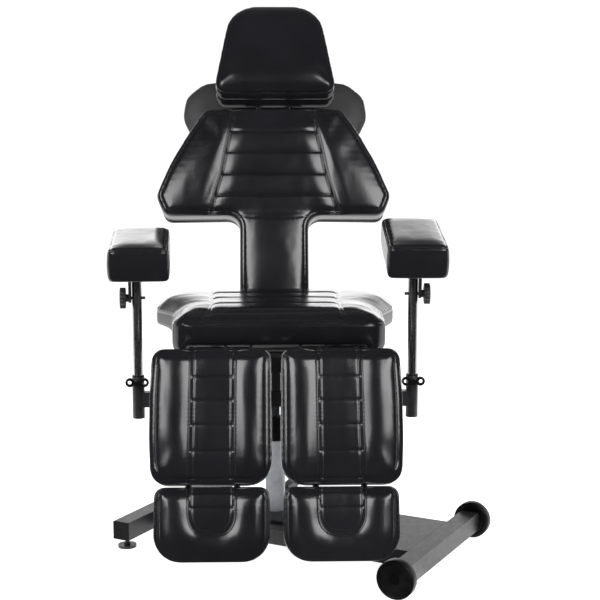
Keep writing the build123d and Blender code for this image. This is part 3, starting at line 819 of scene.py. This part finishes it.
arm_r = soft("armrest_pad_right", "armrest_cushion_right", "armrest_right", ARM_R, arm_shape, voxel=0.0055,
             cap=0.008, shrink=5, side_z=[145], reach=8)
arm_l = mirrored("armrest_pad_left", arm_r, ARM_R, ARM_L, 362 - 351, "armrest_cushion_left",
                 "armrest_left")

# ------------------------------------------------------------------ finish of the carried-over parts
FINISH = {}
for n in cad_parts:
    FINISH[n] = FRAME_PAINT
for n in ("near_wheel", "far_wheel"):
    FINISH[n] = PLASTIC
for n in ("beam_end_caps", "sleeve_liner_left", "sleeve_liner_right"):
    FINISH[n] = PLASTIC
for n in ("armrest_knob_left", "armrest_knob_right"):
    FINISH[n] = KNOB
for n in ("seat_board", "back_board"):
    FINISH[n] = BOARD
for n in ("headrest_rods", "leg_spring_rod_left", "leg_spring_rod_right", "back_spring_rod", "pump_piston"):
    FINISH[n] = CHROME
for n in ("armrest_post_left", "armrest_post_right"):
    FINISH[n] = POST
for n in ("wheel_axles", "pump_flange_bolts", "frame_pins", "leg_hinge_axle", "sleeve_screw_left",
          "sleeve_screw_right", "pump_gland"):
    FINISH[n] = DARK_STEEL
FINISH["pump_cylinder"] = PUMP

BEVEL = {n: 0.0012 for n in ("base_spine", "foot_crossbeam", "wheel_crossbeam", "beam_end_caps", "armrest_crossbar",
                             "pump_flange", "turret_plate", "seat_side_rails", "armrest_bracket_left",
                             "armrest_bracket_right", "armrest_knob_left", "armrest_knob_right", "near_wheel",
                             "far_wheel", "pump_pedal", "rear_pad_frame", "headrest_frame")}
for n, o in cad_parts.items():
    me = o.data
    if not me.materials:
        me.materials.append(None)
    for s in o.material_slots:
        s.material = FINISH[n]
    if o.hide_render:
        continue
    if n in BEVEL:
        w = o.modifiers.new("weld", "WELD")
        w.merge_threshold = 0.00002
        b = o.modifiers.new("bevel", "BEVEL")
        b.width = BEVEL[n]
        b.segments = 2
        b.limit_method = "ANGLE"
        b.angle_limit = radians(38)
        b.harden_normals = True


# ------------------------------------------------------------------ studio
def area(name, loc, aim, sx, sy, power, color=(1, 1, 1)):
    d = bpy.data.lights.new(name, "AREA")
    d.shape = "RECTANGLE"
    d.size, d.size_y = sx, sy
    d.energy = power
    d.color = color
    o = bpy.data.objects.new(name, d)
    scene.collection.objects.link(o)
    o.location = loc
    o.rotation_euler = (Vector(aim) - Vector(loc)).to_track_quat("-Z", "Y").to_euler()
    return o


PAPER, pnt, pb, pvec = node_mat("floor_paper")
pnt.links.new(two_tone(pnt, noise(pnt, pvec, 3, 3, 0.6), (0.80, 0.80, 0.80), (0.84, 0.84, 0.84)), pb.inputs["Base Color"])
pb.inputs["Roughness"].default_value = 0.9
pb.inputs["Specular IOR Level"].default_value = 0.0
pb.inputs["Emission Color"].default_value = (1, 1, 1, 1)
pb.inputs["Emission Strength"].default_value = 0.97
# the paper in front of the chair is out of the photograph; the cushions must not mirror it
FY = -0.36
floor = mesh_from("studio_floor", [(-30, FY, 0), (30, FY, 0), (30, 30, 0), (-30, 30, 0)], [(0, 1, 2, 3)], PAPER)
front_floor = mesh_from("studio_floor_front", [(-30, -30, 0), (30, -30, 0), (30, FY, 0), (-30, FY, 0)], [(0, 1, 2, 3)],
                        PAPER)
front_floor.visible_glossy = False
for o in (floor, front_floor):
    o.location.z = -0.0005

# pale room: white behind the chair up to a low height, dark in front and overhead; the camera sees it pale all round
world = bpy.data.worlds.new("studio")
scene.world = world
world.use_nodes = True
wt = world.node_tree
bg = wt.nodes["Background"]
gen = wt.nodes.new("ShaderNodeTexCoord").outputs["Generated"]
sep = wt.nodes.new("ShaderNodeSeparateXYZ")
wt.links.new(gen, sep.inputs[0])


def math_node(op, a, b):
    n = wt.nodes.new("ShaderNodeMath")
    n.operation = op
    for k, v in enumerate((a, b)):
        if isinstance(v, (int, float)):
            n.inputs[k].default_value = v
        else:
            wt.links.new(v, n.inputs[k])
    return n.outputs[0]


behind = remap(wt, sep.outputs["Y"], 0.0, 1.0, 0.05, 0.55)
low = remap(wt, sep.outputs["Z"], 1.0, 0.06, 0.19, 0.42)
room = math_node("ADD", math_node("MULTIPLY", math_node("MULTIPLY", behind, low), 2.5), 0.03)
eye = wt.nodes.new("ShaderNodeLightPath").outputs["Is Camera Ray"]
seen = math_node("ADD", math_node("MULTIPLY", eye, 1.02), math_node("MULTIPLY", math_node("SUBTRACT", 1.0, eye), room))
bg.inputs[0].default_value = (1, 1, 1, 1)
wt.links.new(seen, bg.inputs[1])


def softbox(name, az, el, dist, sx, sy, radiance):
    aim = np.array([SH[0], -0.2, 0.55])
    a, e = radians(az), radians(el)
    loc = aim + dist * np.array([cos(e) * sin(a), -cos(e) * cos(a), sin(e)])
    area(name, tuple(loc), tuple(aim), sx, sy, radiance * pi * sx * sy)


softbox("softbox_left", -41, 33, 4.5, 2.3, 2.5, 8.5)
softbox("softbox_right", 39, 33, 4.5, 2.4, 2.5, 8.5)
area("softbox_top", (SH[0], 0.5, 3.6), (SH[0], 0.1, 0.5), 1.6, 0.9, 30).visible_glossy = False

scene.view_settings.view_transform = "Standard"
scene.view_settings.look = "None"
scene.view_settings.exposure = 0.0
